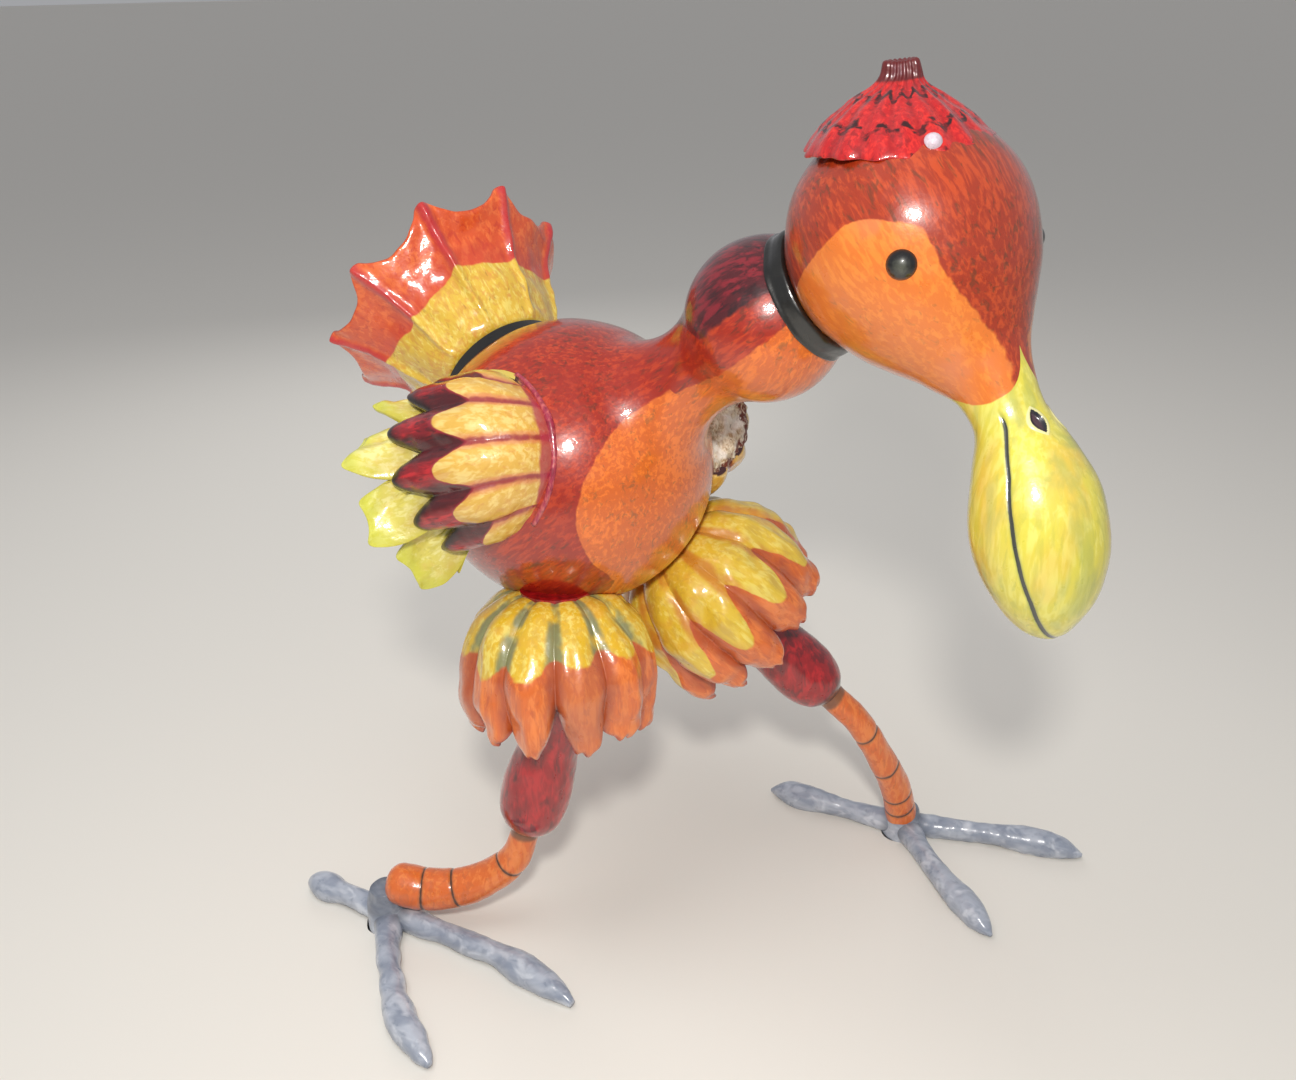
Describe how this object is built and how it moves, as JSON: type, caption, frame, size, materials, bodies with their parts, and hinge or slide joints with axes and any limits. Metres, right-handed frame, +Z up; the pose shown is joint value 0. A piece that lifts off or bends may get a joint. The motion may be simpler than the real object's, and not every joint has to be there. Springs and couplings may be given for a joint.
{
  "type": "painted gourd bird figure",
  "caption": "Standing long-necked bird figure of painted gourds with a hat, crown-gourd tail, wings and leg ruffs, and flat clay feet",
  "frame": {"origin": "on the floor, under the middle of the figure's bounding box", "axes": "+X is the way the neck leans, +Y is the bird's left, +Z is up"},
  "size_m": [0.4771, 0.3617, 0.5192],
  "materials": {
    "vermilion_gourd": "hand-painted vermilion and orange on dried gourd, thick gloss varnish",
    "black_ring": "gloss black enamel",
    "bare_wood": "sanded, unpainted",
    "eye_glass": "polished black bead",
    "crimson_gourd": "crimson and maroon paint under gloss varnish",
    "dried_glue": "dried glue",
    "tail_paint": "yellow band running into orange-red, gloss varnish",
    "wing_cover_paint": "yellow-orange ribs with crimson fingertips, gloss varnish",
    "wing_flare_paint": "pale yellow and lime, satin varnish",
    "ruff_paint": "yellow ribs with grey-green grooves and orange fingertips, gloss varnish",
    "orange_shank": "orange with dark painted rings, satin varnish",
    "steel": "plain steel rod and wire",
    "grey_clay": "blue-grey painted clay, satin varnish"
  },
  "bodies": {
    "figure": {"body_gourd": "vermilion_gourd", "neck_collar": "black_ring", "neck_plug": "bare_wood", "tail_collar": "black_ring", "tail_socket": "bare_wood", "right_wing_cover": "wing_cover_paint", "left_wing_cover": "wing_cover_paint", "right_wing_flare": "wing_flare_paint", "left_wing_flare": "wing_flare_paint", "right_wing_putty": "crimson_gourd", "left_wing_putty": "crimson_gourd", "leg_washers": "steel", "leg_nuts": "steel", "right_ruff": "ruff_paint", "right_hip_filler": "crimson_gourd", "right_drumstick": "crimson_gourd", "right_shank": "orange_shank", "right_leg_rod": "steel", "right_leg_block": "bare_wood", "right_foot_hub": "grey_clay", "right_foot_wires": "steel", "right_hind_toe": "grey_clay", "right_outer_toe": "grey_clay", "right_inner_toe": "grey_clay", "left_ruff": "ruff_paint", "left_hip_filler": "crimson_gourd", "left_drumstick": "crimson_gourd", "left_shank": "orange_shank", "left_leg_rod": "steel", "left_leg_block": "bare_wood", "left_foot_hub": "grey_clay", "left_foot_wires": "steel", "left_hind_toe": "grey_clay", "left_outer_toe": "grey_clay", "left_inner_toe": "grey_clay"},
    "neck_peg": {"neck_peg": "bare_wood"},
    "head": {"head_gourd": "vermilion_gourd", "head_plug": "bare_wood", "right_eye": "eye_glass", "left_eye": "eye_glass", "hat": "crimson_gourd", "hat_glue": "dried_glue"},
    "tail": {"tail_gourd": "tail_paint", "tail_hub": "bare_wood", "tail_peg": "bare_wood"}
  },
  "joints": [
    {"name": "head_turn", "type": "hinge", "parent": "figure", "child": "neck_peg", "pos_m": [0.12476, 0.0156, 0.44093], "axis": [0.8396, 0, 0.5432], "range_deg": [-35, 35]},
    {"name": "head_lift", "type": "slide", "parent": "neck_peg", "child": "head", "axis": [0.8396, 0, 0.5432], "range_m": [0, 0.04]},
    {"name": "tail_lift", "type": "slide", "parent": "figure", "child": "tail", "axis": [-0.803, 0.3244, 0.5], "range_m": [0, 0.036]}
  ]
}
